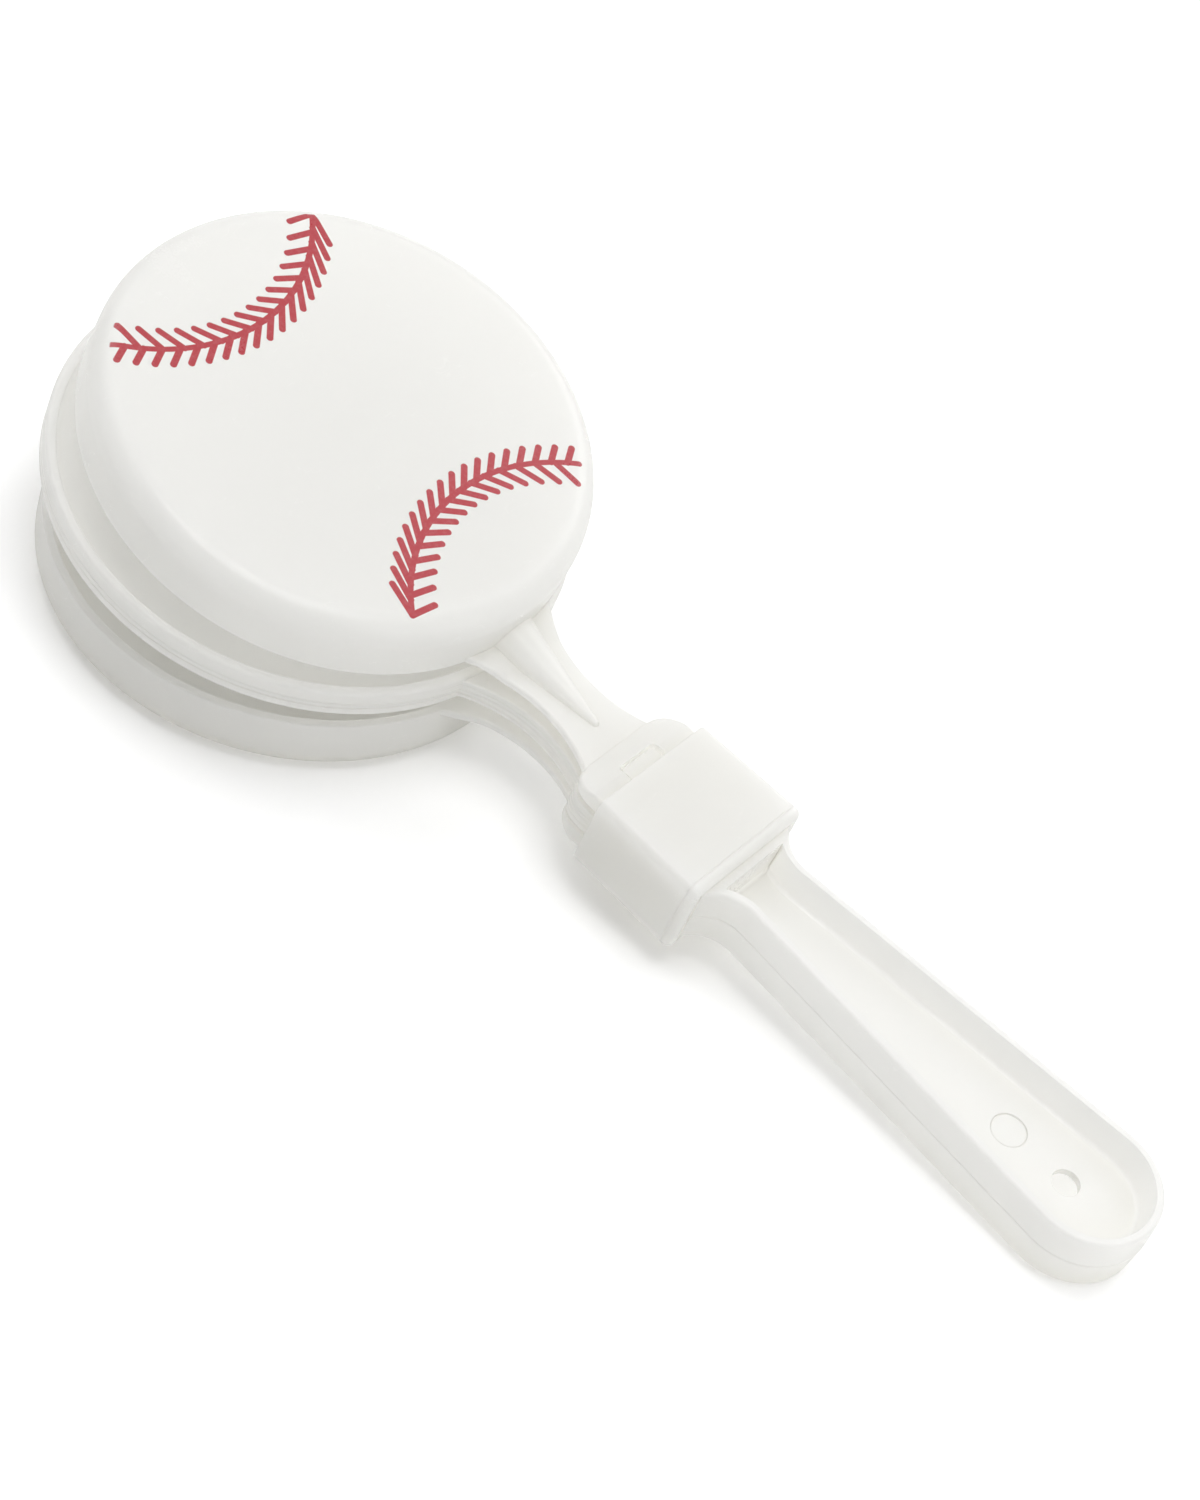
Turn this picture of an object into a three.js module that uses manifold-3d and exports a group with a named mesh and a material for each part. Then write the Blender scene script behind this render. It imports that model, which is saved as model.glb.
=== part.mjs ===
// Hand clapper: a centre paddle with a handle, two cap-shaped clappers hinged
// either side of it, and a square collar that holds the three roots together.
// Millimetres, +Z up. The handle runs along +X, the hinge axes along Y, and the
// centre paddle lies in the plane Z = 0 with the origin at the middle of the length.

import * as THREE from 'three';
import { mergeVertices } from 'three/addons/utils/BufferGeometryUtils.js';
import Module from 'manifold-3d';

const wasm = await Module();
wasm.setup();

// Running clearances
const seatGap = 0.3;
const bearingGap = 0.3;
const sideGap = 0.35;
const lugGap = 0.45;

// Centre disc: a thin web inside a raised rim
const discCentreToMouth = 71.4;
const discRadius = 42.3;
const discRimWidth = 1.8;
const discRimHalfHeight = 2.7;
const discRimRound = 0.7;
const webThickness = 1.24;
const webFillet = 0.9;

// Clapper caps
const capCentreToMouth = 70.5;
const capRadius = 40.7;
const capDepth = 10.8;
const capWall = 1.5;
const capFaceRound = 4;
const capRimRound = 0.35;
const openAngle = THREE.MathUtils.degToRad(4.95);

// Necks, in plan: a hollow-sided waist, then rounded shoulders at the collar
const waistFromMouth = 17;
const waistHalfWidth = 5.2;
const neckSideRadius = 23.5;
const neckFootAngle = THREE.MathUtils.degToRad(56);
const shoulderFromMouth = 6.5;
const shoulderLength = 4.2;
const centreNeckHalfThickness = 1.9;
const neckPlateThickness = 1.4;
const neckBendFromMouth = 25;
const neckBendLength = 4;

// Gusset: a half cone from the cap's skirt to a point on the neck
const gussetRadius = 4.3;
const gussetTipRadius = 0.5;
const gussetTipFromMouth = 11.4;

// Roots and hinges inside the collar
const hingeInset = 3.6;
const hingeHeight = 3.75;
const beadRadius = 1.9;
const rootOuterFace = 5.5;
const rootRampLength = 4.3;
const rootStepLength = 0.3;
const centreRootHalfThickness = 2.3;
const slotHalfWidth = 4.2;
const slotReach = 3.2;
const slotCorner = 0.9;
const slotWallToBead = 0.5;
const lugHeight = 5.6;

// Collar
const collarLength = 20.5;
const collarWidth = 25.6;
const collarThickness = 14.5;
const collarSideFlare = 0.5;
const collarFaceFlare = 0.25;
const collarSideWall = 1.05;
const collarFaceWall = 1.3;
const collarEdgeRound = 1.1;
const collarEndRound = 1.3;

// Handle
const handleReach = 102.3;
const handleThickness = 11.2;
const handleNoseRadius = 11.7;
const handleWaistHalfWidth = 6.9;
const handleWaistFromCollar = 6.4;
const handleFlareRadius = 6.5;
const handleWall = 1.6;
const recessFromCollar = 1.4;
const hangHoleRadius = 2.3;
const hangHoleFromEnd = 14.6;
const pinMarkRadius = 2.9;
const pinMarkFromEnd = 26;
const pinMarkDepth = 0.15;

// Places that follow from the sizes above
const mouthX = (discCentreToMouth + discRadius - handleReach) / 2;
const discX = mouthX - discCentreToMouth;
const capX = mouthX - capCentreToMouth;
const shoulderX = mouthX - shoulderFromMouth;
const collarEndX = mouthX + collarLength;
const hingeX = mouthX + hingeInset;
const handleEndX = mouthX + handleReach;
const handleHalfThickness = handleThickness / 2;
const webHalf = webThickness / 2;
const capRimZ = discRimHalfHeight + seatGap;
const neckPlateZ = centreNeckHalfThickness + seatGap;
const rootInnerFace = centreRootHalfThickness + seatGap;
const cavityHalfWidth = collarWidth / 2 - collarSideWall;
const cavityHalfHeight = collarThickness / 2 - collarFaceWall;
const rootHalfWidth = cavityHalfWidth - sideGap;
const grooveRadius = beadRadius + bearingGap;
const blockX = hingeX + grooveRadius;

// Mesh fineness, a quarter turn, and how far cutting shapes run past what they cut
const roundSteps = 72;
const filletSteps = 5;
const lipSteps = 2;
const quarter = Math.PI / 2;
const overrun = 2;
const wide = 40;

const plastic = { color: 0xf1f1ee, roughness: 0.34, metalness: 0 };

// Solids from three.js geometry

function solidFrom(geometry) {
  const source = geometry.clone();
  for (const name of ['normal', 'uv']) {
    source.deleteAttribute(name);
  }
  const merged = mergeVertices(source, 1e-4);
  const corners = Array.from(merged.index.array);
  const triVerts = [];
  for (let i = 0; i < corners.length; i += 3) {
    const [a, b, c] = corners.slice(i, i + 3);
    if (a !== b && b !== c && c !== a) {
      triVerts.push(a, b, c);
    }
  }
  const mesh = new wasm.Mesh({
    numProp: 3,
    vertProperties: new Float32Array(merged.attributes.position.array),
    triVerts: new Uint32Array(triVerts),
  });
  return new wasm.Manifold(mesh);
}

function geometryFrom(solid) {
  const mesh = solid.getMesh();
  const geometry = new THREE.BufferGeometry();
  geometry.setAttribute('position', new THREE.BufferAttribute(Float32Array.from(mesh.vertProperties), 3));
  geometry.setIndex(new THREE.BufferAttribute(Uint32Array.from(mesh.triVerts), 1));
  geometry.computeVertexNormals();
  return geometry;
}

function namedMesh(name, solid) {
  const mesh = new THREE.Mesh(geometryFrom(solid), new THREE.MeshStandardMaterial(plastic));
  mesh.name = name;
  return mesh;
}

function extrude(shape, depth) {
  return new THREE.ExtrudeGeometry(shape, { depth, bevelEnabled: false, curveSegments: roundSteps / 4 });
}

// A plan outline in X and Y, standing from z = low to z = high
function planSolid(shape, low, high) {
  return solidFrom(extrude(shape, high - low).translate(0, 0, low));
}

// A side outline in X and Z, as wide as everything it cuts
function sideSolid(shape) {
  const geometry = extrude(shape, 2 * wide).translate(0, 0, -wide);
  return solidFrom(geometry.rotateX(Math.PI / 2));
}

// A profile of radius and height turned about a vertical axis
function turnedSolid(profile, x) {
  const geometry = new THREE.LatheGeometry(profile, roundSteps);
  return solidFrom(geometry.rotateX(Math.PI / 2).translate(x, 0, 0));
}

function drum(x, radius, low, high) {
  const geometry = new THREE.CylinderGeometry(radius, radius, high - low, roundSteps);
  return solidFrom(geometry.rotateX(Math.PI / 2).translate(x, 0, (low + high) / 2));
}

// Points of a round corner, from one angle to another
function arcPoints(x, y, radius, from, to, steps) {
  const points = [];
  for (let i = 0; i <= steps; i++) {
    const angle = from + ((to - from) * i) / steps;
    points.push(new THREE.Vector2(x + radius * Math.cos(angle), y + radius * Math.sin(angle)));
  }
  return points;
}

// Neck outline in plan: waist arcs, shoulders, and a straight root of the given end
function neckOutline(endX) {
  const waistX = mouthX - waistFromMouth;
  const arcY = waistHalfWidth + neckSideRadius;
  const shoulderAngle = Math.asin((shoulderX - waistX) / neckSideRadius);
  const shoulderY = arcY - neckSideRadius * Math.cos(shoulderAngle);
  const earX = shoulderX + shoulderLength;
  const earRise = rootHalfWidth - shoulderY;
  const footX = waistX - neckSideRadius * Math.sin(neckFootAngle);
  const footY = arcY - neckSideRadius * Math.cos(neckFootAngle);
  const shape = new THREE.Shape();
  shape.moveTo(footX, -footY);
  shape.absarc(waistX, -arcY, neckSideRadius, quarter + neckFootAngle, quarter - shoulderAngle, true);
  shape.absellipse(earX, -shoulderY, shoulderLength, earRise, Math.PI, 3 * quarter, false);
  shape.lineTo(endX, -rootHalfWidth);
  shape.lineTo(endX, rootHalfWidth);
  shape.absellipse(earX, shoulderY, shoulderLength, earRise, quarter, Math.PI, false);
  shape.absarc(waistX, arcY, neckSideRadius, shoulderAngle - quarter, -quarter - neckFootAngle, true);
  shape.closePath();
  return shape;
}

function roundedRectangle(x0, x1, y0, y1, radius) {
  const shape = new THREE.Shape();
  shape.moveTo(x0 + radius, y0);
  shape.lineTo(x1 - radius, y0);
  shape.absarc(x1 - radius, y0 + radius, radius, -quarter, 0, false);
  shape.lineTo(x1, y1 - radius);
  shape.absarc(x1 - radius, y1 - radius, radius, 0, quarter, false);
  shape.lineTo(x0 + radius, y1);
  shape.absarc(x0 + radius, y1 - radius, radius, quarter, Math.PI, false);
  shape.lineTo(x0, y0 + radius);
  shape.absarc(x0 + radius, y0 + radius, radius, Math.PI, 3 * quarter, false);
  return shape;
}

// A plain outline whose two corners at endX are rounded
function roundedEnd(startX, endX, halfWidth, radius) {
  const shape = new THREE.Shape();
  shape.moveTo(startX, halfWidth);
  shape.lineTo(startX, -halfWidth);
  shape.absarc(endX - radius, radius - halfWidth, radius, -quarter, 0, false);
  shape.absarc(endX - radius, halfWidth - radius, radius, 0, quarter, false);
  shape.closePath();
  return shape;
}

// Handle outline in plan, moved inwards by inset, starting at startX.
// Its straight side touches both the flare's arc and the round nose.
function handleOutline(inset, startX, startHalfWidth) {
  const flareRadius = handleFlareRadius + inset;
  const noseRadius = handleNoseRadius - inset;
  const flareX = collarEndX + handleWaistFromCollar;
  const flareY = handleWaistHalfWidth + handleFlareRadius;
  const noseX = handleEndX - handleNoseRadius;
  const span = Math.hypot(noseX - flareX, flareY);
  const slope = Math.asin((flareRadius + noseRadius) / span) - Math.atan2(flareY, noseX - flareX);
  const startAngle = Math.asin((flareY - startHalfWidth) / flareRadius);
  const shape = new THREE.Shape();
  shape.moveTo(startX, startHalfWidth);
  shape.lineTo(startX, -startHalfWidth);
  shape.absarc(flareX, -flareY, flareRadius, Math.PI - startAngle, quarter - slope, true);
  shape.absarc(noseX, 0, noseRadius, -quarter - slope, quarter + slope, false);
  shape.absarc(flareX, flareY, flareRadius, -quarter + slope, -Math.PI + startAngle, true);
  shape.closePath();
  return shape;
}

// Centre paddle

function centreDisc() {
  const rimInner = discRadius - discRimWidth;
  const lipY = discRimHalfHeight - discRimRound;
  const upper = [
    new THREE.Vector2(0, webHalf),
    ...arcPoints(rimInner - webFillet, webHalf + webFillet, webFillet, -quarter, 0, lipSteps),
    ...arcPoints(rimInner + discRimRound, lipY, discRimRound, Math.PI, quarter, lipSteps),
    ...arcPoints(discRadius - discRimRound, lipY, discRimRound, quarter, 0, lipSteps),
  ];
  const lower = upper.map((point) => new THREE.Vector2(point.x, -point.y));
  return turnedSolid([...lower, ...upper.reverse()], discX);
}

// The neck and the bearing grooves that the beads of both clappers turn in
function centreNeck() {
  const step = Math.sqrt(grooveRadius ** 2 - (hingeHeight - centreRootHalfThickness) ** 2);
  const dip = Math.asin((hingeHeight - centreRootHalfThickness) / grooveRadius);
  const endX = blockX + overrun;
  const shape = new THREE.Shape();
  shape.moveTo(discX, -centreNeckHalfThickness);
  shape.lineTo(shoulderX, -centreNeckHalfThickness);
  shape.lineTo(shoulderX + rootStepLength, -centreRootHalfThickness);
  shape.lineTo(hingeX - step, -centreRootHalfThickness);
  shape.absarc(hingeX, -hingeHeight, grooveRadius, Math.PI - dip, 0, true);
  shape.lineTo(blockX, -handleHalfThickness);
  shape.lineTo(endX, -handleHalfThickness);
  shape.lineTo(endX, handleHalfThickness);
  shape.lineTo(blockX, handleHalfThickness);
  shape.absarc(hingeX, hingeHeight, grooveRadius, 0, -Math.PI + dip, true);
  shape.lineTo(shoulderX + rootStepLength, centreRootHalfThickness);
  shape.lineTo(shoulderX, centreNeckHalfThickness);
  shape.lineTo(discX, centreNeckHalfThickness);
  shape.closePath();
  const plan = planSolid(neckOutline(endX), -wide, wide);
  const inside = drum(discX, discRadius - discRimWidth / 2, -wide, wide);
  return plan.intersect(sideSolid(shape)).subtract(inside);
}

// Lugs that stand through the clappers' slots and keep them from pulling out
function lugs() {
  const startX = mouthX - slotReach + lugGap;
  const endX = hingeX - beadRadius - slotWallToBead - lugGap;
  const halfWidth = slotHalfWidth - sideGap;
  const shape = roundedRectangle(startX, endX, -halfWidth, halfWidth, slotCorner - sideGap / 2);
  return planSolid(shape, -lugHeight, lugHeight);
}

function handle() {
  const outline = handleOutline(0, blockX, rootHalfWidth);
  let solid = planSolid(outline, -handleHalfThickness, handleHalfThickness);
  const recessX = collarEndX + recessFromCollar;
  const flareY = handleWaistHalfWidth + handleFlareRadius;
  const run = handleWaistFromCollar - recessFromCollar;
  const drop = Math.sqrt((handleFlareRadius + handleWall) ** 2 - run ** 2);
  const recess = handleOutline(handleWall, recessX, flareY - drop);
  for (const [low, high] of [[webHalf, wide], [-wide, -webHalf]]) {
    solid = solid.subtract(planSolid(recess, low, high));
  }
  const holeX = handleEndX - hangHoleFromEnd;
  const markX = handleEndX - pinMarkFromEnd;
  solid = solid.subtract(drum(holeX, hangHoleRadius, -wide, wide));
  return solid.subtract(drum(markX, pinMarkRadius, webHalf - pinMarkDepth, wide));
}

function centrePaddle() {
  return centreDisc().add(centreNeck()).add(lugs()).add(handle());
}

// Clappers, drawn closed against the upper side of the centre paddle

function cap() {
  const faceZ = capRimZ + capDepth;
  const innerRadius = capRadius - capWall;
  const innerRound = capFaceRound - capWall;
  const roundZ = faceZ - capFaceRound;
  const profile = [
    new THREE.Vector2(0, faceZ - capWall),
    ...arcPoints(capRadius - capFaceRound, roundZ, innerRound, quarter, 0, filletSteps),
    ...arcPoints(innerRadius + capRimRound, capRimZ + capRimRound, capRimRound, Math.PI, 3 * quarter, lipSteps),
    ...arcPoints(capRadius - capRimRound, capRimZ + capRimRound, capRimRound, -quarter, 0, lipSteps),
    ...arcPoints(capRadius - capFaceRound, roundZ, capFaceRound, 0, quarter, filletSteps),
    new THREE.Vector2(0, faceZ),
  ];
  return turnedSolid(profile, capX);
}

// Side outline of the neck plate, the ramped root and the hinge bead
function clapperNeck() {
  const plateTop = neckPlateZ + neckPlateThickness;
  const footTop = capRimZ + neckPlateThickness;
  const bendX = mouthX - neckBendFromMouth;
  const footX = bendX - neckBendLength;
  const lowRise = hingeHeight - rootInnerFace;
  const highRise = rootOuterFace - hingeHeight;
  const lowAngle = Math.asin(lowRise / beadRadius);
  const highAngle = Math.asin(highRise / beadRadius);
  const shape = new THREE.Shape();
  shape.moveTo(capX, capRimZ);
  shape.lineTo(footX, capRimZ);
  shape.lineTo(bendX, neckPlateZ);
  shape.lineTo(shoulderX - rootStepLength, neckPlateZ);
  shape.lineTo(shoulderX, rootInnerFace);
  shape.absarc(hingeX, hingeHeight, beadRadius, Math.PI + lowAngle, 3 * Math.PI - highAngle, false);
  shape.lineTo(shoulderX + rootRampLength, rootOuterFace);
  shape.lineTo(shoulderX, plateTop);
  shape.lineTo(bendX, plateTop);
  shape.lineTo(footX, footTop);
  shape.lineTo(capX, footTop);
  shape.closePath();
  const plan = planSolid(neckOutline(hingeX + beadRadius + overrun), 0, wide);
  return plan.intersect(sideSolid(shape));
}

// The half cone that stiffens the neck: its axis lies in the plate's upper face
function gusset() {
  const plateTop = neckPlateZ + neckPlateThickness;
  const plateMiddle = plateTop - neckPlateThickness / 2;
  const tipX = mouthX - gussetTipFromMouth;
  const baseX = capX + capRadius - capWall;
  const length = tipX - baseX;
  const cone = new THREE.CylinderGeometry(gussetTipRadius, gussetRadius, length, roundSteps / 2);
  cone.rotateZ(-quarter).translate(baseX + length / 2, 0, plateTop);
  const tip = new THREE.SphereGeometry(gussetTipRadius, roundSteps / 4, roundSteps / 8);
  tip.translate(tipX, 0, plateTop);
  const above = new THREE.BoxGeometry(2 * wide, 2 * wide, wide);
  above.translate(tipX, 0, plateMiddle + wide / 2);
  return solidFrom(cone).add(solidFrom(tip)).intersect(solidFrom(above));
}

function clapper() {
  const slotEnd = hingeX - beadRadius - slotWallToBead;
  const slotShape = roundedRectangle(mouthX - slotReach, slotEnd, -slotHalfWidth, slotHalfWidth, slotCorner);
  const hollow = drum(capX, capRadius - capWall / 2, 0, capRimZ + capDepth - capWall / 2);
  const stem = clapperNeck().add(gusset()).subtract(hollow);
  return cap().add(stem).subtract(planSolid(slotShape, 0, wide));
}

// Collar: a square sleeve, flared a little towards the handle, where its rim is rounded
function collar() {
  const halfWidth = collarWidth / 2;
  const halfHeight = collarThickness / 2;
  const section = roundedRectangle(-halfHeight, halfHeight, -halfWidth, halfWidth, collarEdgeRound);
  const options = { depth: collarLength, bevelEnabled: false, curveSegments: filletSteps };
  const body = new THREE.ExtrudeGeometry(section, options);
  const points = body.attributes.position;
  for (let i = 0; i < points.count; i++) {
    const share = points.getZ(i) / collarLength;
    points.setX(i, points.getX(i) + Math.sign(points.getX(i)) * collarFaceFlare * share);
    points.setY(i, points.getY(i) + Math.sign(points.getY(i)) * collarSideFlare * share);
  }
  body.rotateY(quarter).translate(mouthX, 0, 0);
  const startX = mouthX - overrun;
  const plan = roundedEnd(startX, collarEndX, halfWidth + collarSideFlare, collarEndRound);
  const side = roundedEnd(startX, collarEndX, halfHeight + collarFaceFlare, collarEndRound);
  const cavity = new THREE.BoxGeometry(2 * wide, 2 * cavityHalfWidth, 2 * cavityHalfHeight);
  cavity.translate(mouthX, 0, 0);
  const outer = solidFrom(body).intersect(planSolid(plan, -wide, wide)).intersect(sideSolid(side));
  return outer.subtract(solidFrom(cavity));
}

// A clapper turned about its hinge to the open position; side is 1 above, -1 below
function hungClapper(name, side) {
  const mesh = namedMesh(name, clapper().translate(-hingeX, 0, -hingeHeight));
  const swing = new THREE.Group();
  swing.add(mesh);
  swing.rotation.y = openAngle;
  swing.position.set(hingeX, 0, hingeHeight);
  const half = new THREE.Group();
  half.add(swing);
  half.rotation.x = side > 0 ? 0 : Math.PI;
  return half;
}

const handClapper = new THREE.Group();
handClapper.name = 'hand_clapper';
handClapper.add(namedMesh('centre_paddle', centrePaddle()));
handClapper.add(namedMesh('collar', collar()));
handClapper.add(hungClapper('front_clapper', 1));
handClapper.add(hungClapper('rear_clapper', -1));

export default handClapper;
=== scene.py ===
import math

import bmesh
import bpy
from mathutils import Matrix, Vector


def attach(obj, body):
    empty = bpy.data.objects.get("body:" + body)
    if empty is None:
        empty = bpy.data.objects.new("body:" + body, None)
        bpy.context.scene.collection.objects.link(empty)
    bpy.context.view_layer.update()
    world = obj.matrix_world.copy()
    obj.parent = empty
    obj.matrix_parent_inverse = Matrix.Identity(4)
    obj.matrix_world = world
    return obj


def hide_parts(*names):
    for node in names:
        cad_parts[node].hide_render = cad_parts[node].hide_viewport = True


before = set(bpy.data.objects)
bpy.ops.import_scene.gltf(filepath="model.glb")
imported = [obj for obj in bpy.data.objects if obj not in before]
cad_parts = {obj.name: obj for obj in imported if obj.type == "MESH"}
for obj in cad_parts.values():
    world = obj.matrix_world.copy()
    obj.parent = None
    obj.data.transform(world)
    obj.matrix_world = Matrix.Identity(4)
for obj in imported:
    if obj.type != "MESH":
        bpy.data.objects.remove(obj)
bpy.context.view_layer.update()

# The meshes are drawn in millimetres and come down to metres when a piece is finished
near = 0.01  # how close counts as the same place
overrun = 2  # how far a cutting shape runs past what it cuts
clear = 20  # a cut that clears everything in its way
longEdge = 1  # no edge of a rounding is as long as this
flatNormal = 0.9  # a face whose normal rises more than this lies flat
roundSteps = 192  # sides of the big rounds
rodSteps = 48
smoothAngle = 32  # degrees
double = 0.0005  # corners closer than this are one
outlineDouble = 0.001
toMetres = 0.001
mid = 0.5  # the middle of what a noise gives
white = (1, 1, 1, 1)

# The neck's plan and the hinge, which the paddle and both clappers share
neck = {
    "waistX": -11.3,
    "waistHalfWidth": 5.2,
    "sideRadius": 23.5,
    "footAngle": 56,
    "shoulderX": -0.8,
    "shoulderLength": 4.2,
    "rootHalfWidth": 11.4,
    "sideSteps": 34,
    "earSteps": 12,
    "edgeSteps": 3,
}
hinge = {"x": 9.3, "z": 3.75, "beadRadius": 1.9, "grooveRadius": 2.2, "open": 4.95}


# Small helpers for working as by hand


def clearSelection():
    if bpy.context.object and bpy.context.object.mode != "OBJECT":
        bpy.ops.object.mode_set(mode="OBJECT")
    bpy.ops.object.select_all(action="DESELECT")


def focus(piece):
    clearSelection()
    piece.select_set(True)
    bpy.context.view_layer.objects.active = piece


def edit(piece):
    focus(piece)
    bpy.ops.object.mode_set(mode="EDIT")


def pick(kind, wanted):
    # selects the faces, edges or corners that lie where the test says
    bpy.ops.mesh.select_mode(type=kind)
    bpy.ops.mesh.select_all(action="DESELECT")
    mesh = bpy.context.edit_object.data
    shape = bmesh.from_edit_mesh(mesh)
    shape.normal_update()
    parts = {"VERT": shape.verts, "EDGE": shape.edges, "FACE": shape.faces}[kind]
    for part in parts:
        if wanted(part):
            part.select_set(True)
    shape.select_flush_mode()
    bmesh.update_edit_mesh(mesh)


def flatAt(*heights):
    # true for an edge that lies at one of the heights
    def wanted(edge):
        return any(all(abs(corner.co.z - height) < near for corner in edge.verts) for height in heights)

    return wanted


def faceAt(height):
    # true for a flat face at one height
    def wanted(face):
        flat = abs(face.normal.z) > flatNormal
        return flat and abs(face.calc_center_median().z - height) < near

    return wanted


def runsAlong(axis, length):
    # true for an edge that goes further than this along the axis
    return lambda edge: abs(getattr(edge.verts[0].co, axis) - getattr(edge.verts[1].co, axis)) > length


def roundOff(width, steps):
    bpy.ops.mesh.bevel(offset=width, segments=steps, affect="EDGES", clamp_overlap=False)


def insetBy(width, depth=0.0):
    bpy.ops.mesh.inset(thickness=width, depth=depth)


def pushUp(distance):
    bpy.ops.mesh.extrude_region_move(TRANSFORM_OT_translate={"value": (0, 0, distance)})


def tidyMesh():
    # joins doubles and turns every face outwards
    bpy.ops.mesh.select_mode(type="VERT")
    bpy.ops.mesh.select_all(action="SELECT")
    bpy.ops.mesh.remove_doubles(threshold=double)
    bpy.ops.mesh.normals_make_consistent(inside=False)
    bpy.ops.object.mode_set(mode="OBJECT")


def addDrum(name, x, radius, low, high, steps):
    clearSelection()
    place = (x, 0, (low + high) / 2)
    bpy.ops.mesh.primitive_cylinder_add(vertices=steps, radius=radius, depth=high - low, location=place)
    bpy.ops.object.transform_apply(location=True)
    bpy.context.object.name = name
    return bpy.context.object


def addRod(name, x, z, radius, halfLength):
    # a round bar along Y
    clearSelection()
    bpy.ops.mesh.primitive_cylinder_add(
        vertices=rodSteps,
        radius=radius,
        depth=2 * halfLength,
        location=(x, 0, z),
        rotation=(math.radians(90), 0, 0),
    )
    bpy.ops.object.transform_apply(location=True, rotation=True)
    bpy.context.object.name = name
    return bpy.context.object


def addBlock(name, x0, x1, halfWidth, z0, z1):
    clearSelection()
    bpy.ops.mesh.primitive_cube_add(size=1, location=((x0 + x1) / 2, 0, (z0 + z1) / 2))
    block = bpy.context.object
    block.scale = (x1 - x0, 2 * halfWidth, z1 - z0)
    bpy.ops.object.transform_apply(location=True, scale=True)
    block.name = name
    return block


def combine(piece, tool, how):
    focus(piece)
    change = piece.modifiers.new("shape", "BOOLEAN")
    change.operation = how
    change.solver = "EXACT"
    change.object = tool
    bpy.ops.object.modifier_apply(modifier=change.name)
    bpy.data.objects.remove(tool)


def carve(piece, tool):
    combine(piece, tool, "DIFFERENCE")


def weld(piece, tool):
    combine(piece, tool, "UNION")


class Pen:
    # draws a flat outline corner by corner and arc by arc, in the edit mode
    def __init__(self, name, x, y, z):
        clearSelection()
        bpy.ops.mesh.primitive_plane_add(size=1, location=(x, y, z))
        bpy.ops.object.transform_apply(location=True)
        self.piece = bpy.context.object
        self.piece.name = name
        bpy.ops.object.mode_set(mode="EDIT")
        bpy.ops.mesh.merge(type="CENTER")
        self.point = Vector((x, y, z))

    def lift(self, x, y, z):
        # starts another outline in the same mesh
        bpy.ops.mesh.select_all(action="DESELECT")
        bpy.ops.mesh.primitive_plane_add(size=1, location=(x, y, z))
        bpy.ops.mesh.merge(type="CENTER")
        self.point = Vector((x, y, z))

    def line(self, x, y):
        step = Vector((x, y, self.point.z)) - self.point
        bpy.ops.mesh.extrude_vertices_move(TRANSFORM_OT_translate={"value": step})
        self.point += step

    def arc(self, x, y, degrees, steps):
        # a spin turns clockwise for a positive angle when there is no window
        centre = Vector((x, y, self.point.z))
        turn = math.radians(degrees)
        bpy.ops.mesh.spin(steps=steps, angle=-turn, center=centre, axis=(0, 0, 1))
        self.point = centre + Matrix.Rotation(turn, 3, "Z") @ (self.point - centre)

    def oval(self, x, y, halfX, halfY, start, degrees, steps):
        for i in range(1, steps + 1):
            angle = math.radians(start + degrees * i / steps)
            self.line(x + halfX * math.cos(angle), y + halfY * math.sin(angle))

    def close(self):
        bpy.ops.mesh.select_mode(type="VERT")
        bpy.ops.mesh.select_all(action="SELECT")
        bpy.ops.mesh.remove_doubles(threshold=outlineDouble)
        bpy.ops.mesh.select_all(action="SELECT")
        bpy.ops.mesh.edge_face_add()


def finishPiece(piece, body, node, finish):
    # down to metres, smooth where it is round, and given to its body
    focus(piece)
    piece.scale = (toMetres, toMetres, toMetres)
    bpy.ops.object.transform_apply(location=True, rotation=True, scale=True)
    bpy.ops.object.shade_smooth_by_angle(angle=math.radians(smoothAngle))
    even = piece.modifiers.new("even", "WEIGHTED_NORMAL")
    even.keep_sharp = True
    bpy.ops.object.modifier_apply(modifier=even.name)
    piece.data.materials.clear()
    piece.data.materials.append(finish)
    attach(piece, body)
    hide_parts(node)


def neckSlab(name, endX, low, high, edgeRound):
    # the shared neck plan: hollow sides, round shoulders, straight root
    waistX = neck["waistX"]
    side = neck["sideRadius"]
    arcY = neck["waistHalfWidth"] + side
    foot = math.radians(neck["footAngle"])
    shoulder = math.asin((neck["shoulderX"] - waistX) / side)
    shoulderY = arcY - side * math.cos(shoulder)
    earX = neck["shoulderX"] + neck["shoulderLength"]
    earRise = neck["rootHalfWidth"] - shoulderY
    sweep = neck["footAngle"] + math.degrees(shoulder)
    footX = waistX - side * math.sin(foot)
    footY = arcY - side * math.cos(foot)
    pen = Pen(name, footX, -footY, low)
    pen.arc(waistX, -arcY, -sweep, neck["sideSteps"])
    pen.oval(earX, -shoulderY, neck["shoulderLength"], earRise, 180, 90, neck["earSteps"])
    pen.line(endX, -neck["rootHalfWidth"])
    pen.line(endX, neck["rootHalfWidth"])
    pen.line(earX, neck["rootHalfWidth"])
    pen.oval(earX, shoulderY, neck["shoulderLength"], earRise, 90, 90, neck["earSteps"])
    pen.arc(waistX, arcY, -sweep, neck["sideSteps"])
    pen.close()
    pushUp(high - low)
    tidyMesh()
    edit(pen.piece)
    pick("EDGE", flatAt(low, high))
    roundOff(edgeRound, neck["edgeSteps"])
    tidyMesh()
    return pen.piece


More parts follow.
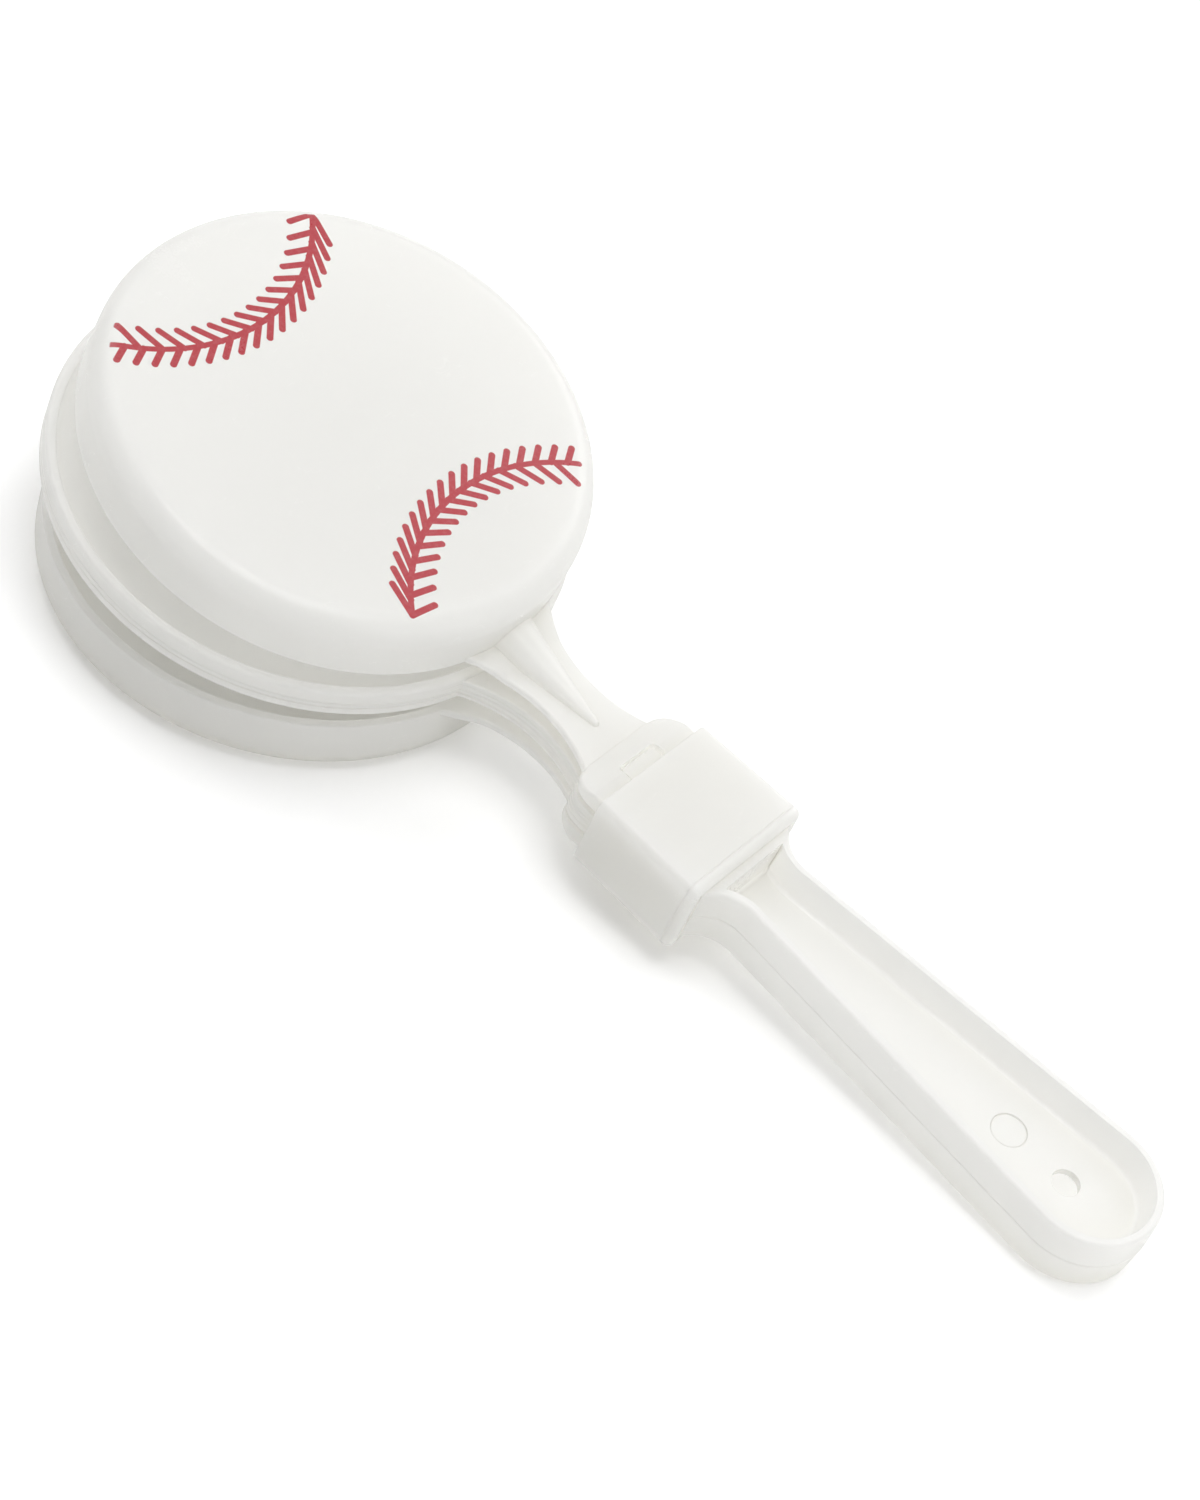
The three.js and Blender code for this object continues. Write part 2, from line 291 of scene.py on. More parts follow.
def sliceAt(piece, places):
    # lays a ring of edges across a piece at each x
    edit(piece)
    for x in places:
        bpy.ops.mesh.select_all(action="SELECT")
        bpy.ops.mesh.bisect(plane_co=(x, 0, 0), plane_no=(1, 0, 0))
    tidyMesh()


def shiftPart(piece, wanted, z):
    edit(piece)
    pick("VERT", wanted)
    bpy.ops.transform.translate(value=(0, 0, z))
    tidyMesh()


# Shader maths: a wire is a socket that can stand in a sum


class Wire:
    def __init__(self, tree, socket=None):
        self.tree = tree
        self.socket = socket

    def node(self, kind, settings=None, inputs=None, output=0):
        made = self.tree.nodes.new(kind)
        for name, value in (settings or {}).items():
            setattr(made, name, value)
        for name, value in (inputs or {}).items():
            if isinstance(value, Wire):
                self.tree.links.new(value.socket, made.inputs[name])
            else:
                made.inputs[name].default_value = value
        return Wire(self.tree, made.outputs[output] if len(made.outputs) else None)

    def also(self, name):
        # another output of the same node
        return Wire(self.tree, self.socket.node.outputs[name])

    def maths(self, operation, *others):
        values = {0: self}
        for i, other in enumerate(others):
            values[i + 1] = other
        return self.node("ShaderNodeMath", {"operation": operation}, values)

    def __add__(self, other):
        return self.maths("ADD", other)

    def __mul__(self, other):
        return self.maths("MULTIPLY", other)

    def __sub__(self, other):
        return self.maths("SUBTRACT", other)

    def __rsub__(self, other):
        return self.node("ShaderNodeMath", {"operation": "SUBTRACT"}, {0: other, 1: self})

    def __truediv__(self, other):
        return self.maths("DIVIDE", other)

    def least(self, other):
        return self.maths("MINIMUM", other)

    def most(self, other):
        return self.maths("MAXIMUM", other)

    def size(self):
        return self.maths("ABSOLUTE")

    def between(self, low, high):
        return self.most(low).least(high)

    def under(self, limit, blur):
        # 1 well below the limit, 0 well above it, soft in between
        return ((limit - self) / blur + mid).between(0, 1)

    def over(self, limit, blur):
        return ((self - limit) / blur + mid).between(0, 1)


def distanceTo(x, y):
    return (x * x + y * y).maths("SQRT")


# Lights, floor and camera

studio = {
    "cameraPlace": (0.150608, -0.419152, 0.509396),
    "cameraTurn": (37.9438, -17.6513, 41.3596),
    "lens": 106.56,
    "filmWidth": 36,
    "sight": (0.01, 20),  # how near and how far the camera sees, in metres
    "roomLight": 0.31,
    "floorColour": (0.95, 0.95, 0.95, 1),
    "floorGlow": 0.15,
    "floorFar": 0.65,
    "floorBlur": 0.5,
    "floorSize": 4,  # metres
    # where the part touches the floor: the edge of its rear cap and the end of its handle
    "floorLow": (-0.101, 0, -0.02345),
    "floorHigh": (0.108, 0, -0.00568),
    # name, place, size, watts; each lamp looks at the origin
    "lamps": (
        ("top", (0.0, 0.0, 1.3), 0.9, 7.4),
        ("back", (0.0, 1.1, 0.7), 0.8, 4.1),
        ("right", (1.1, 0.0, 0.6), 1.0, 3.6),
        ("left", (-0.85, 0.1, 0.85), 1.0, 4.4),
    ),
}


def makeCamera():
    lens = bpy.data.cameras.new("camera")
    lens.lens = studio["lens"]
    lens.sensor_width = studio["filmWidth"]
    lens.clip_start, lens.clip_end = studio["sight"]
    camera = bpy.data.objects.new("camera", lens)
    camera.location = studio["cameraPlace"]
    camera.rotation_euler = [math.radians(turn) for turn in studio["cameraTurn"]]
    bpy.context.scene.collection.objects.link(camera)
    bpy.context.scene.camera = camera


def makeLamps():
    for name, place, size, watts in studio["lamps"]:
        lamp = bpy.data.lights.new(name, "AREA")
        lamp.shape = "DISK"
        lamp.size = size
        lamp.energy = watts
        holder = bpy.data.objects.new(name, lamp)
        holder.location = place
        holder.rotation_euler = (-Vector(place)).to_track_quat("-Z", "Y").to_euler()
        bpy.context.scene.collection.objects.link(holder)


def backdropRays(start):
    # 1 for what the camera sees, straight, in a gloss or through a glass, and 0 for scattered light
    path = start.node("ShaderNodeLightPath")
    seen = path.most(path.also("Is Glossy Ray")).most(path.also("Is Transmission Ray"))
    return seen * (1 - path.also("Is Diffuse Ray"))


def makeRoom():
    world = bpy.data.worlds.new("room")
    bpy.context.scene.world = world
    world.use_nodes = True
    tree = world.node_tree
    tree.nodes.clear()
    start = Wire(tree)
    light = start.node("ShaderNodeBackground", {}, {"Color": white, "Strength": studio["roomLight"]})
    blank = start.node("ShaderNodeBackground", {}, {"Color": white, "Strength": 1.0})
    shown = start.node("ShaderNodeMixShader", {}, {0: backdropRays(start), 1: light, 2: blank})
    start.node("ShaderNodeOutputWorld", {}, {"Surface": shown})
    bpy.context.scene.view_settings.view_transform = "Standard"


def makeFloor():
    # the part lies on two places of unlike height, so the floor is a little tilted
    clearSelection()
    low = Vector(studio["floorLow"])
    high = Vector(studio["floorHigh"])
    slope = math.atan2(high.z - low.z, high.x - low.x)
    size = studio["floorSize"]
    bpy.ops.mesh.primitive_plane_add(size=size, location=(low + high) / 2, rotation=(0, -slope, 0))
    floor = bpy.context.object
    floor.name = "floor"
    paint = bpy.data.materials.new("floorPaint")
    paint.use_nodes = True
    tree = paint.node_tree
    tree.nodes.clear()
    start = Wire(tree)
    matt = start.node("ShaderNodeBsdfDiffuse", {}, {"Color": studio["floorColour"]})
    glow = start.node("ShaderNodeEmission", {}, {"Color": white, "Strength": studio["floorGlow"]})
    both = start.node("ShaderNodeAddShader", {}, {0: matt, 1: glow})
    seen = backdropRays(start)
    shown = start.node("ShaderNodeMixShader", {}, {0: seen, 1: matt, 2: both})
    # past the lamps' reach the floor runs into the white behind it
    coords = start.node("ShaderNodeTexCoord", output="Object")
    away = start.node("ShaderNodeVectorMath", {"operation": "LENGTH"}, {0: coords}, output="Value")
    blank = start.node("ShaderNodeEmission", {}, {"Color": white, "Strength": 1.0})
    far = away.over(studio["floorFar"], studio["floorBlur"]) * seen
    shown = start.node("ShaderNodeMixShader", {}, {0: far, 1: shown, 2: blank})
    start.node("ShaderNodeOutputMaterial", {}, {"Surface": shown})
    floor.data.materials.append(paint)


# White moulded plastic: the paddle, the collar and the clappers each show their own moulding marks

plastic = {
    "colour": (0.945, 0.945, 0.94, 1),
    # painted light: the warmer, lighter colour given to the hollows
    "paintedHollowLight": (0.965, 0.95, 0.89, 1),
    # the colour of dust in the mould lines, and of the painted shade in the hanging hole
    "dirtAndShadeColour": (0.45, 0.42, 0.36, 1),
    "speckColour": (0.36, 0.34, 0.30, 1),
    "rough": 0.24,
    "roughSpread": 0.07,
    "throughShare": 0.48,
    "hollowThrough": 0.42,
    "hollowReach": 0.009,  # metres
    "hollowFrom": 0.48,
    "hollowBlur": 0.8,
    "throughColour": (0.975, 0.972, 0.955, 1),
    "edgeRound": 0.00016,  # the small rounds that every moulded edge has
    "sinkScale": 0.055,
    "sinkDepth": 0.012,  # millimetres
    "grainScale": 2.6,
    "grainDetail": 3.0,
    "grainDepth": 0.0012,
    "grainRough": 0.05,
    "roughLimits": (0.12, 0.8),
    "refraction": 1.49,
    "speckGap": 11,
    "speckRadius": 0.2,
    "speckBlur": 0.5,  # as a share of its radius
    "speckShare": 0.24,
    "shareBlur": 0.001,
    "speckStrength": 0.75,
    "rubScale": 0.16,
    "rubFrom": 0.56,
    "rubBlur": 0.05,
    "scratchScale": 0.33,
    "scratchDetail": 1.0,
    "scratchTwist": 1.6,
    "scratchStretch": (1.0, 0.45, 1.0),
    "scratchHalfWidth": 0.0035,
    "scratchBlur": 0.004,
    "scratchDepth": 0.004,
    "scratchRough": 0.12,
    "lineRough": 0.1,
    "raySamples": 6,
}


class Look:
    # what a plastic is made of before it is finished: place, colour with painted warm light in its
    # hollows, roughness and relief in millimetres
    def __init__(self, name):
        self.material = bpy.data.materials.new(name)
        self.material.use_nodes = True
        self.tree = self.material.node_tree
        self.tree.nodes.clear()
        start = Wire(self.tree)
        self.start = start
        coords = start.node("ShaderNodeTexCoord", output="Object")
        enlarge = {"operation": "SCALE"}
        self.place = start.node("ShaderNodeVectorMath", enlarge, {0: coords, "Scale": 1 / toMetres})
        parts = start.node("ShaderNodeSeparateXYZ", {}, {0: self.place})
        self.x = parts
        self.y = parts.also("Y")
        self.z = parts.also("Z")
        rays = {"samples": plastic["raySamples"]}
        reach = {"Distance": plastic["hollowReach"]}
        openness = start.node("ShaderNodeAmbientOcclusion", rays, reach, output="AO")
        # 1 in a hollow, 0 where the surface lies open
        self.hollow = openness.under(plastic["hollowFrom"], plastic["hollowBlur"])
        self.colour = plastic["colour"]
        # painted light: the hollows get a warmer, lighter colour in place of the warm light that gathers
        # there
        self.paint(self.hollow, plastic["paintedHollowLight"])
        self.through = self.hollow * plastic["hollowThrough"] + plastic["throughShare"]
        self.addSurface()

    def noise(self, scale, detail=2.0, twist=0.0, stretch=None):
        where = self.place
        if stretch:
            where = self.start.node("ShaderNodeMapping", {}, {0: self.place, "Scale": stretch})
        inputs = {"Vector": where, "Scale": scale, "Detail": detail, "Distortion": twist}
        return self.start.node("ShaderNodeTexNoise", {}, inputs)

    def addSurface(self):
        broad = self.noise(plastic["sinkScale"])
        fine = self.noise(plastic["grainScale"], plastic["grainDetail"])
        rubbed = self.noise(plastic["rubScale"]).over(plastic["rubFrom"], plastic["rubBlur"])
        self.rough = (broad - mid) * plastic["roughSpread"] * 2 + (fine - mid) * plastic["grainRough"]
        self.rough = self.rough + plastic["rough"]
        self.relief = broad * plastic["sinkDepth"] + fine * plastic["grainDepth"]
        # hairline scratches, in patches where the part was rubbed
        twist = plastic["scratchTwist"]
        stretch = plastic["scratchStretch"]
        line = self.noise(plastic["scratchScale"], plastic["scratchDetail"], twist, stretch)
        hair = (line - mid).size().under(plastic["scratchHalfWidth"], plastic["scratchBlur"]) * rubbed
        self.relief = self.relief - hair * plastic["scratchDepth"]
        self.rough = self.rough + hair * plastic["scratchRough"]
        # a few dark specks in the plastic, one in some cells only
        cells = {"Vector": self.place, "Scale": 1 / plastic["speckGap"]}
        spot = self.start.node("ShaderNodeTexVoronoi", {}, cells)
        chance = self.start.node("ShaderNodeSeparateColor", {}, {0: spot.also("Color")})
        radius = plastic["speckRadius"] / plastic["speckGap"]
        speck = spot.under(radius, radius * plastic["speckBlur"])
        speck = speck * chance.under(plastic["speckShare"], plastic["shareBlur"])
        self.paint(speck * plastic["speckStrength"], plastic["speckColour"])

    def paint(self, share, colour):
        # sockets 6 and 7 of a mix are its two colours, and its output 2 is the mixed one
        shades = {0: share, 6: self.colour, 7: colour}
        self.colour = self.start.node("ShaderNodeMix", {"data_type": "RGBA"}, shades, output=2)

    def addLine(self, line, depth, dirt):
        # a fine groove, or a fine ridge for a depth below 0, with a little dirt along it
        self.relief = self.relief - line * depth
        self.rough = self.rough + line * plastic["lineRough"]
        self.paint(line * dirt, plastic["dirtAndShadeColour"])

    def finish(self):
        start = self.start
        radius = {"Radius": plastic["edgeRound"]}
        soft = start.node("ShaderNodeBevel", {"samples": plastic["raySamples"]}, radius)
        bump = {"Height": self.relief, "Distance": toMetres, "Strength": 1.0, "Normal": soft}
        normal = start.node("ShaderNodeBump", {}, bump)
        sockets = {
            "Base Color": self.colour,
            "Roughness": self.rough.between(*plastic["roughLimits"]),
            "Normal": normal,
            "IOR": plastic["refraction"],
        }
        solid = start.node("ShaderNodeBsdfPrincipled", {}, sockets)
        # the walls are thin, so the plastic lets a share of the light through
        through = {"Color": plastic["throughColour"], "Normal": normal}
        glow = start.node("ShaderNodeBsdfTranslucent", {}, through)
        shader = start.node("ShaderNodeMixShader", {}, {0: self.through, 1: solid, 2: glow})
        start.node("ShaderNodeOutputMaterial", {}, {"Surface": shader})
        return self.material


# The printed stitches: two arcs with slanted strokes on either side, the second turned half round.
# Lengths are in millimetres on the cap's face, angles in degrees about the arc's centre

stitches = {
    "faceX": -63.657,
    "faceZ": 20.157,
    "colour": (0.4, 0.034, 0.046, 1),
    # the mean of the two arcs, and by how much each differs from it
    "turn": (4.15, 2.12),
    "away": (51.26, -0.17),
    "radius": (31.235, -0.175),
    "spread": (1.0, -0.02),
    "sweep": 46.9,
    "lineHalfWidth": 0.5,
    "strokeHalfWidth": 0.57,
    "blur": 0.1,
    "inkLevel": -0.4,  # only what lies above this, from the face, is printed
    "inkHeight": 0.012,
    "inkRough": 0.06,
    "wearScale": 1.4,
    "wearDetail": 4.0,
    "wearFrom": 0.3,
    "wearBlur": 0.5,
    "wear": 0.06,
    "bendShare": 1.1,  # how far the places of the strokes bend back for their widening
    "bendReach": 1.2,
    "inner": {
        "reach": 2.85,
        "more": 0.0,
        "gap": 5.3,
        "widen": 0.0,
        "lag": 5.6,
        "lagChange": 0.08,
        "count": 18,
    },
    "outer": {
        "reach": -3.1,
        "more": -0.8,
        "gap": 5.73,
        "widen": 0.1,
        "lag": 5.5,
        "lagChange": -0.02,
        "count": 16,
    },
}


def strokeDistance(px, py, angle, away, radius, spread, kind):
    # distance to the nearest stroke of one side, each a straight line from the arc to its tip
    shape = stitches[kind]
    reach = (angle / stitches["sweep"]).maths("POWER", 2) * shape["more"] + shape["reach"]
    share = ((away - radius) / reach).between(0, 1)
    foot = (angle + share * shape["lag"]) / (1 - share * shape["lagChange"])
    # the strokes stand wider apart towards the ends of the arc
    last = shape["count"] - 1
    half = shape["gap"] * last / 2
    middle = stitches["sweep"] - half
    widen = shape["widen"]
    place = ((foot - middle) / half).between(-stitches["bendReach"], stitches["bendReach"])
    bend = stitches["bendShare"] * widen
    even = place * (1 + bend) - place * place * place * bend
    number = ((1 - even) * (last / 2)).maths("ROUND").between(0, last)
    even = 1 - number * (2 / last)
    footAngle = (even * (1 - widen) + even * even * even * widen) * half + middle
    tipAngle = footAngle - shape["lag"] - footAngle * shape["lagChange"]
    tipReach = (tipAngle / stitches["sweep"]).maths("POWER", 2) * shape["more"] + shape["reach"]
    foot = (footAngle * spread).maths("RADIANS")
    tip = (tipAngle * spread).maths("RADIANS")
    ax = foot.maths("COSINE") * radius
    ay = foot.maths("SINE") * radius
    bx = tip.maths("COSINE") * (radius + tipReach) - ax
    by = tip.maths("SINE") * (radius + tipReach) - ay
    fromX = px - ax
    fromY = py - ay
    along = ((fromX * bx + fromY * by) / (bx * bx + by * by)).between(0, 1)
    return distanceTo(fromX - bx * along, fromY - by * along)


def stitchMask(look):
    tilt = math.radians(hinge["open"])
    side = look.z.maths("SIGN")
    out = look.z * side - stitches["faceZ"]
    along = look.x - stitches["faceX"]
    u = along * math.cos(tilt) - out * math.sin(tilt)
    v = look.y * side
    level = along * math.sin(tilt) + out * math.cos(tilt)
    turn, turnMore = [math.radians(angle) for angle in stitches["turn"]]
    p = u * math.cos(turn) + v * math.sin(turn)
    q = v * math.cos(turn) - u * math.sin(turn)
    half = p.maths("SIGN")
    mean, more = stitches["radius"]
    radius = half * more + mean
    mean, more = stitches["away"]
    centreAway = half * more + mean
    mean, more = stitches["spread"]
    spread = half * more + mean
    # local place about the arc's centre, measured from the line towards the face's middle
    px = centreAway - p * half * math.cos(turnMore) - q * math.sin(turnMore)
    py = p * math.sin(turnMore) - q * half * math.cos(turnMore)
    away = distanceTo(px, py)
    angle = py.maths("ARCTAN2", px).maths("DEGREES") / spread
    held = (angle.between(-stitches["sweep"], stitches["sweep"]) * spread).maths("RADIANS")
    lineX = held.maths("COSINE") * radius
    lineY = held.maths("SINE") * radius
    line = distanceTo(px - lineX, py - lineY) - stitches["lineHalfWidth"]
    inner = strokeDistance(px, py, angle, away, radius, spread, "inner")
    outer = strokeDistance(px, py, angle, away, radius, spread, "outer")
    ink = line.least(inner.least(outer) - stitches["strokeHalfWidth"])
    return ink.under(0, stitches["blur"]) * level.over(stitches["inkLevel"], stitches["blur"])


def clapperPlastic():
    look = Look("clapperPlastic")
    ink = stitchMask(look)
    cover = look.noise(stitches["wearScale"], stitches["wearDetail"])
    cover = cover.over(stitches["wearFrom"], stitches["wearBlur"])
    cover = cover * stitches["wear"] + (1 - stitches["wear"])
    # the print lies on the outside only, and doesn't show through from within
    behind = look.start.node("ShaderNodeNewGeometry", output="Backfacing")
    look.paint(ink * cover * (1 - behind), stitches["colour"])
    look.through = look.through * (1 - ink)
    look.relief = look.relief + ink * stitches["inkHeight"]
    look.rough = look.rough + ink * stitches["inkRough"]
    return look.finish()


# Lines that the moulds left, and where dust sits in them

seams = {
    "halfWidth": 0.14,
    "blur": 0.1,
    "ridge": 0.09,
    "ridgeDirt": 0.12,
    "groove": 0.09,
    "discLine": -0.85,
    "discEnd": -22,
    "discFade": 2,
    "discDirt": 0.24,
    "neckLine": 0.95,
    "neckStart": -24,
    "neckStartFade": 4,
    "neckEnd": 6,
    "neckEndFade": 1,
    "neckDirt": 0.1,
    "ringHalfWidth": 0.1,
    "ringDepth": 0.06,
    "ringDirt": 0.3,
    "ringFade": 0.2,
    # how dark the painted shade inside the hanging hole is
    "holeShade": 0.35,
    "holeFade": 0.05,
    "wallReach": 0.5,
    "wallFade": 0.2,
    "wallHalfWidth": 8,
    "wallSideFade": 0.5,
    "wallTop": 5.2,
    "wallSolid": 0.85,
    "collarLine": 24.5,
    "collarHalfWidth": 0.13,
    "collarBlur": 0.12,
    "collarDepth": 0.06,
    "collarDirt": 0.08,
}


def paddlePlastic():
    # the two halves of the mould meet at mid height, and the sides show that line
    look = Look("paddlePlastic")
    wide = seams["halfWidth"]
    blur = seams["blur"]
    flash = look.z.size().under(wide, blur)
    disc = (look.z - seams["discLine"]).size().under(wide, blur)
    disc = disc * look.x.under(seams["discEnd"], seams["discFade"])
    sides = (look.z.size() - seams["neckLine"]).size().under(wide, blur)
    sides = sides * look.x.over(seams["neckStart"], seams["neckStartFade"])
    sides = sides * look.x.under(seams["neckEnd"], seams["neckEndFade"])
    # the ejector pin left a fine ring round its mark
    fromRing = distanceTo(look.x - handle["markX"], look.y) - handle["markRadius"]
    ring = fromRing.size().under(seams["ringHalfWidth"], blur) * look.z.over(0, seams["ringFade"])
    look.addLine(flash, -seams["ridge"], seams["ridgeDirt"])
    look.addLine(ring, seams["ringDepth"], seams["ringDirt"])
    look.addLine(disc, seams["groove"], seams["discDirt"])
    # no light comes through the thick block behind the recess's end wall
    endWall = (look.x - handle["recessX"]).size().under(seams["wallReach"], seams["wallFade"])
    endWall = endWall * look.y.size().under(seams["wallHalfWidth"], seams["wallSideFade"])
    endWall = endWall * look.z.size().under(seams["wallTop"], seams["wallFade"])
    look.through = look.through * (1 - endWall * seams["wallSolid"])
    # painted shade darkens the inside of the hanging hole
    fade = seams["holeFade"]
    holeShadeMask = distanceTo(look.x - handle["holeX"], look.y).under(handle["holeRadius"] + fade, fade)
    look.paint(holeShadeMask * seams["holeShade"], plastic["dirtAndShadeColour"])
    look.addLine(sides, seams["groove"], seams["neckDirt"])
    return look.finish()


def collarPlastic():
    # a shallow line runs round the collar where its rounded rim starts
    look = Look("collarPlastic")
    line = (look.x - seams["collarLine"]).size().under(seams["collarHalfWidth"], seams["collarBlur"])
    look.addLine(line, seams["collarDepth"], seams["collarDirt"])
    return look.finish()


# Centre paddle

paddle = {
    "discX": -65.7,
    "discRadius": 42.3,
    "rimWidth": 1.8,
    "rimHalfHeight": 2.7,
    "rimRound": 0.7,
    "webHalf": 0.62,
    "webFillet": 0.9,
    "filletSteps": 4,
    "ringSlack": 0.2,  # how far the two ends of a ring's edge may lie apart in reach
    "neckHalfThickness": 1.9,
    "rootHalfThickness": 2.3,
    "neckEdge": 0.3,
    "blockX": 11.5,
    "lugStart": 2.95,
    "lugEnd": 6.45,
    "lugHalfWidth": 3.85,
    "lugCorner": 0.72,
    "lugCornerSteps": 5,
    "lugEdge": 0.25,
    "lugEdgeSteps": 2,
    "stepLength": 0.3,
}

handle = {
    "startX": 11.5,
    "halfThickness": 5.6,
    "draft": 0.26,
    "edgeRound": 0.6,
    "edgeSteps": 4,
    "flareX": 32.6,
    "flareY": 13.4,
    "flareRadius": 6.5,
    "noseX": 96.3,
    "noseRadius": 11.7,
    "wall": 1.6,
    "wallLean": 1.0,
    "recessX": 27.6,
    "endSlant": 0.06,
    "recessFoot": 0.7,
    "recessAbove": 1,  # how far the cutting shape stands over the rim
    "holeX": 93.4,
    "holeRadius": 2.3,
    "markX": 82,
    "markRadius": 2.9,
    "markDepth": 0.15,
    "flareSteps": 24,
    "noseSteps": 64,
    "holeSteps": 64,
    "markSteps": 72,
}


def makeDisc():
    top = paddle["rimHalfHeight"]
    disc = addDrum("disc", paddle["discX"], paddle["discRadius"], -top, top, roundSteps)
    web = paddle["webHalf"]
    middle = Vector((paddle["discX"], 0, 0))
    for side in (1, -1):
        edit(disc)
        pick("FACE", faceAt(side * top))
        insetBy(paddle["rimWidth"])
        pushUp(side * (web - top))
        tidyMesh()
    edit(disc)
    pick("EDGE", flatAt(web, -web))
    roundOff(paddle["webFillet"], paddle["filletSteps"])
    pick("EDGE", flatAt(top, -top))
    # only the rings, not the spokes between them
    shape = bmesh.from_edit_mesh(bpy.context.edit_object.data)
    for edge in shape.edges:
        reach = [(corner.co - middle).to_2d().length for corner in edge.verts]
        if abs(reach[0] - reach[1]) > paddle["ringSlack"]:
            edge.select_set(False)
    bmesh.update_edit_mesh(bpy.context.edit_object.data)
    roundOff(paddle["rimRound"], paddle["filletSteps"])
    tidyMesh()
    return disc


def drawHandle(pen, inset, startX, startHalfWidth):
    # the handle's plan, moved inwards by inset; its straight sides touch the flare and the nose
    flare = handle["flareRadius"] + inset
    nose = handle["noseRadius"] - inset
    flareX = handle["flareX"]
    flareY = handle["flareY"]
    noseX = handle["noseX"]
    span = math.hypot(noseX - flareX, flareY)
    slope = math.asin((flare + nose) / span) - math.atan2(flareY, noseX - flareX)
    start = math.asin((flareY - startHalfWidth) / flare)
    tilt = math.degrees(slope)
    sweep = 90 - math.degrees(start) + tilt
    pen.line(startX, -startHalfWidth)
    arcX = flareX - flare * math.cos(start)
    if arcX > startX + near:
        pen.line(arcX, -startHalfWidth)
    pen.arc(flareX, -flareY, -sweep, handle["flareSteps"])
    pen.line(noseX - nose * math.sin(slope), -nose * math.cos(slope))
    pen.arc(noseX, 0, 180 + 2 * tilt, handle["noseSteps"])
    pen.line(flareX + flare * math.sin(slope), flareY - flare * math.cos(slope))
    pen.arc(flareX, flareY, -sweep, handle["flareSteps"])
    if arcX > startX + near:
        pen.line(startX, startHalfWidth)


def recessTool():
    # a channel with leaning walls: one outline on the floor, one above the rim, bridged
    low = paddle["webHalf"]
    high = handle["halfThickness"]
    above = high + handle["recessAbove"]
    lean = handle["wallLean"] / (high - low)
    pen = None
    for z in (low, above):
        inset = handle["wall"] + lean * (high - z)
        startX = handle["recessX"] + handle["endSlant"] * (high - z)
        flare = handle["flareRadius"] + inset
        halfWidth = handle["flareY"] - math.sqrt(flare**2 - (handle["flareX"] - startX) ** 2)
        if pen:
            pen.lift(startX, halfWidth, z)
        else:
            pen = Pen("recess", startX, halfWidth, z)
        drawHandle(pen, inset, startX, halfWidth)
    bpy.ops.mesh.select_all(action="SELECT")
    bpy.ops.mesh.remove_doubles(threshold=outlineDouble)
    bpy.ops.mesh.select_mode(type="EDGE")
    bpy.ops.mesh.select_all(action="SELECT")
    bpy.ops.mesh.bridge_edge_loops()
    for z in (low, above):
        pick("EDGE", flatAt(z))
        bpy.ops.mesh.edge_face_add()
    tidyMesh()
    edit(pen.piece)
    pick("EDGE", flatAt(low))
    roundOff(handle["recessFoot"], handle["edgeSteps"])
    tidyMesh()
    return pen.piece


def makeHandle():
    high = handle["halfThickness"]
    halfWidth = neck["rootHalfWidth"]
    pen = Pen("handle", handle["startX"], halfWidth, 0)
    drawHandle(pen, 0, handle["startX"], halfWidth)
    pen.close()
    insetBy(handle["draft"], high)
    half = pen.piece
    pick("EDGE", flatAt(0))
    bpy.ops.mesh.edge_face_add()
    tidyMesh()
    edit(half)
    # the leaning sides must narrow upwards whichever way the face looked
    pick("VERT", lambda corner: corner.co.z < -near)
    shape = bmesh.from_edit_mesh(bpy.context.edit_object.data)
    if any(corner.select for corner in shape.verts):
        bpy.ops.transform.mirror(constraint_axis=(False, False, True), center_override=(0, 0, 0))
    pick("EDGE", flatAt(high))
    roundOff(handle["edgeRound"], handle["edgeSteps"])
    tidyMesh()
    carve(half, recessTool())
    edit(half)
    pick("FACE", faceAt(0))
    bpy.ops.mesh.delete(type="FACE")
    tidyMesh()
    twin = half.modifiers.new("twin", "MIRROR")
    twin.use_axis = (False, False, True)
    twin.merge_threshold = 2 * outlineDouble
    focus(half)
    bpy.ops.object.modifier_apply(modifier=twin.name)
    edit(half)
    tidyMesh()
    hole = addDrum("hole", handle["holeX"], handle["holeRadius"], -overrun, overrun, handle["holeSteps"])
    carve(half, hole)
    markZ = paddle["webHalf"] - handle["markDepth"]
    mark = addDrum("mark", handle["markX"], handle["markRadius"], markZ, overrun, handle["markSteps"])
    carve(half, mark)
    return half


def makeLugs():
    high = handle["halfThickness"]
    block = addBlock("lugs", paddle["lugStart"], paddle["lugEnd"], paddle["lugHalfWidth"], -high, high)
    edit(block)
    pick("EDGE", runsAlong("z", high))
    roundOff(paddle["lugCorner"], paddle["lugCornerSteps"])
    pick("EDGE", flatAt(high, -high))
    roundOff(paddle["lugEdge"], paddle["lugEdgeSteps"])
    tidyMesh()
    return block


